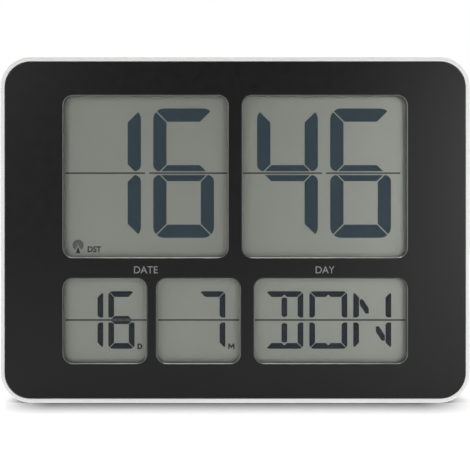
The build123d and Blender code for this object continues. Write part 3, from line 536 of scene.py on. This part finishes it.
def letter_m(middle, width, row, stroke):
    """Outlines of a plain M: two uprights and the notch between them."""
    low, high = row
    left, right = middle - width / 2, middle + width / 2
    uprights = [
        [(edge, low), (edge + stroke, low), (edge + stroke, high), (edge, high)]
        for edge in (left, right - stroke)
    ]
    slant = SLANT_SHARE * stroke
    dip = low + DIP_SHARE * (high - low)
    notch = [
        (left + stroke, high),
        (left + stroke, high - slant),
        (middle, dip),
        (right - stroke, high - slant),
        (right - stroke, high),
        (middle, dip + slant),
    ]
    return uprights + [notch]


panel_low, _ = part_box("front_panel")
face_y = panel_low.y / MM
ink_low, ink_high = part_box("hour_segments")
label = {
    "row": LABEL_ROW,
    "depth": (face_y, face_y - LABEL_PROUD),
    "bold": LABEL_BOLD,
    "material": label_ink,
    "slot": "black_panel",
}
word("label_date", "DATE", middle=-53.2, width=14.2, **label)
word("label_day", "DAY", middle=53.6, width=11.3, **label)

ink_depth = (ink_high.y / MM, ink_low.y / MM)
sign = {"depth": ink_depth, "material": sign_ink, "slot": "lcd_segments"}
word("sign_d", "D", middle=-57.2, width=3.0, row=LETTER_ROW, bold=0.06, **sign)
word("sign_summer_time", "DST", middle=-84.5, width=8.2, row=SUMMER_TIME_ROW, bold=0.02, **sign)

month_sign = letter_m(middle=-2.3, width=3.7, row=LETTER_ROW, stroke=0.8)
new_piece("sign_m", flat_mesh("sign_m", month_sign, ink_depth), sign_ink)

mast = [[(foot, MAST_ROW[0]) for foot in MAST_FEET] + [(RADIO_X, MAST_ROW[1])]]
new_piece("sign_mast", flat_mesh("sign_mast", mast, ink_depth), sign_ink)
waves = [arc((RADIO_X, WAVES_RISE), *ring, *WAVES_SWEEP) for ring in WAVES_RINGS]
new_piece("sign_waves", flat_mesh("sign_waves", waves, ink_depth), wave_ink)


# Floor, light and camera

# Glow of the open floor, reach of the painted shadow on it, and how fast that darkens.
FLOOR_GLOW = 0.55
FLOOR_SHADOW = 0.04
FLOOR_FALL = 2.5
# Where the floor turns white away from the clock, and the painted shadow fades at the clock's ends.
FLOOR_FAR = (0.3, 1.2)
FLOOR_ENDS = (cad_high.x - 0.03, cad_high.x + 0.01)
# World's strength for plain light, and for gloss in front of the clock.
AMBIENT = 0.22
STUDIO_FRONT = 0.05
# Directions along Y between which the studio turns from dark to white.
STUDIO_TURN = (-0.75, 0.1)
LAMP_AIM = (0.0, 0.0, 0.11)
# Camera: sensor in millimetres, distance from the front, and the width seen there.
SENSOR = 36.0
CAMERA_REACH = 0.52
CAMERA_WIDTH = 0.28
CAMERA_X = -0.0001
CAMERA_Z = 0.1001


def floor_material():
    """Pale floor: white to the eye where it lies open, in shadow close to the clock, partly cast by the
    lamps and partly painted into its colour.
    """
    maker = Maker("floor")
    path = maker.node("ShaderNodeLightPath", {})
    seen = path.outputs["Is Camera Ray"]
    unseen = maker.math("SUBTRACT", 1.0, seen)
    dull = maker.math("SUBTRACT", 1.0, path.outputs["Is Glossy Ray"])
    # Painted shadow: ambient occlusion darkens the colour that the camera sees close to the clock,
    # fading out at the clock's ends.
    shadow = maker.node("ShaderNodeAmbientOcclusion", {"Distance": FLOOR_SHADOW}, samples=16)
    ends = maker.spread(maker.math("ABSOLUTE", maker.axis("X")), 0.0, 1.0, *FLOOR_ENDS)
    shut = maker.math("SUBTRACT", 1.0, shadow.outputs["AO"])
    shut = maker.math("MULTIPLY", shut, maker.math("SUBTRACT", 1.0, ends))
    open_share = maker.math("MAXIMUM", maker.math("SUBTRACT", 1.0, shut), unseen)
    pale = maker.ramp(maker.noise(5.0), linear(240, 240, 240), linear(244, 244, 244))
    maker.put("Base Color", maker.mix(maker.math("POWER", open_share, FLOOR_FALL), BLACK, pale))
    maker.put("Roughness", maker.spread(maker.noise(60.0), 0.6, 0.7))
    maker.put("Specular IOR Level", 0.2)
    squares = [maker.math("MULTIPLY", place, place) for place in (maker.axis("X"), maker.axis("Y"))]
    away = maker.math("SQRT", maker.math("ADD", *squares))
    # The glow that keeps the open floor white is weaker where the painted shadow lies.
    near_glow = maker.spread(open_share, 0.0, FLOOR_GLOW, start=0.5, end=1.0)
    near_glow = maker.math("MULTIPLY", near_glow, dull)
    far_glow = maker.math("MULTIPLY", maker.spread(away, 0.0, 1.0, *FLOOR_FAR), seen)
    maker.put("Emission Color", WHITE)
    maker.put("Emission Strength", maker.math("ADD", near_glow, far_glow))
    return maker.material


def make_floor(radius=4.0, steps=96):
    """Round floor under the clock."""
    form = bmesh.new()
    turns = [2 * math.pi * step / steps for step in range(steps)]
    form.faces.new(
        [form.verts.new((radius * math.cos(turn), radius * math.sin(turn), 0.0)) for turn in turns]
    )
    mesh = bpy.data.meshes.new("floor")
    form.to_mesh(mesh)
    form.free()
    mesh.materials.append(floor_material())
    floor = bpy.data.objects.new("floor", mesh)
    scene.collection.objects.link(floor)


def softbox(name, place, width, height, radiance, aim=LAMP_AIM):
    """Area lamp of a given radiance, as a share of white."""
    data = bpy.data.lights.new(name, "AREA")
    data.shape = "RECTANGLE"
    data.size = width
    data.size_y = height
    data.energy = radiance * math.pi * width * height
    lamp = bpy.data.objects.new(name, data)
    lamp.location = place
    lamp.rotation_euler = (Vector(aim) - Vector(place)).to_track_quat("-Z", "Y").to_euler()
    lamp.visible_camera = False
    scene.collection.objects.link(lamp)


def make_world():
    """White to the camera; gloss sees white behind the clock and a darker studio in front of it."""
    world = bpy.data.worlds.new("studio")
    scene.world = world
    world.use_nodes = True
    tree = world.node_tree
    tree.nodes.clear()
    new, join = tree.nodes.new, tree.links.new
    path = new("ShaderNodeLightPath").outputs

    split = new("ShaderNodeSeparateXYZ")
    join(new("ShaderNodeTexCoord").outputs["Generated"], split.inputs["Vector"])
    front = new("ShaderNodeMapRange")
    front.interpolation_type = "SMOOTHSTEP"
    front.inputs["From Min"].default_value, front.inputs["From Max"].default_value = STUDIO_TURN
    front.inputs["To Min"].default_value = STUDIO_FRONT
    front.inputs["To Max"].default_value = 1.0
    join(split.outputs["Y"], front.inputs["Value"])

    seen, glossy, ambient = [new("ShaderNodeBackground") for _ in range(3)]
    for background in (seen, glossy, ambient):
        background.inputs["Color"].default_value = WHITE
    join(front.outputs["Result"], glossy.inputs["Strength"])
    ambient.inputs["Strength"].default_value = AMBIENT

    shiny = new("ShaderNodeMath")
    shiny.operation = "MAXIMUM"
    join(path["Is Glossy Ray"], shiny.inputs[0])
    join(path["Is Transmission Ray"], shiny.inputs[1])
    unseen, whole = [new("ShaderNodeMixShader") for _ in range(2)]
    for mixer, factor, first, second in (
        (unseen, shiny.outputs["Value"], ambient.outputs["Background"], glossy.outputs["Background"]),
        (whole, path["Is Camera Ray"], unseen.outputs["Shader"], seen.outputs["Background"]),
    ):
        for source, target in zip((factor, first, second), mixer.inputs):
            join(source, target)
    join(whole.outputs["Shader"], new("ShaderNodeOutputWorld").inputs["Surface"])


make_floor()
make_world()
softbox("softbox_left", (-0.52, -0.06, 0.16), width=0.4, height=0.34, radiance=1.1)
softbox("softbox_right", (0.52, -0.06, 0.16), width=0.4, height=0.34, radiance=0.3)
softbox("softbox_front_left", (-0.44, -0.5, 0.42), width=0.24, height=0.3, radiance=2.8)
softbox("softbox_front_right", (0.42, -0.46, 0.19), width=0.3, height=0.34, radiance=3.1)
softbox("softbox_back", (-0.3, 0.7, 0.5), width=0.4, height=0.4, radiance=2.6)
softbox("softbox_top", (0.0, -0.05, 1.6), width=0.7, height=0.4, radiance=8.0, aim=(0.0, -0.05, 0.0))

camera_data = bpy.data.cameras.new("camera")
camera_data.sensor_width = SENSOR
camera_data.lens = SENSOR * CAMERA_REACH / CAMERA_WIDTH
camera = bpy.data.objects.new("camera", camera_data)
camera.location = (CAMERA_X, panel_low.y - CAMERA_REACH, CAMERA_Z)
camera.rotation_euler = (math.pi / 2, 0.0, 0.0)
scene.collection.objects.link(camera)
scene.camera = camera
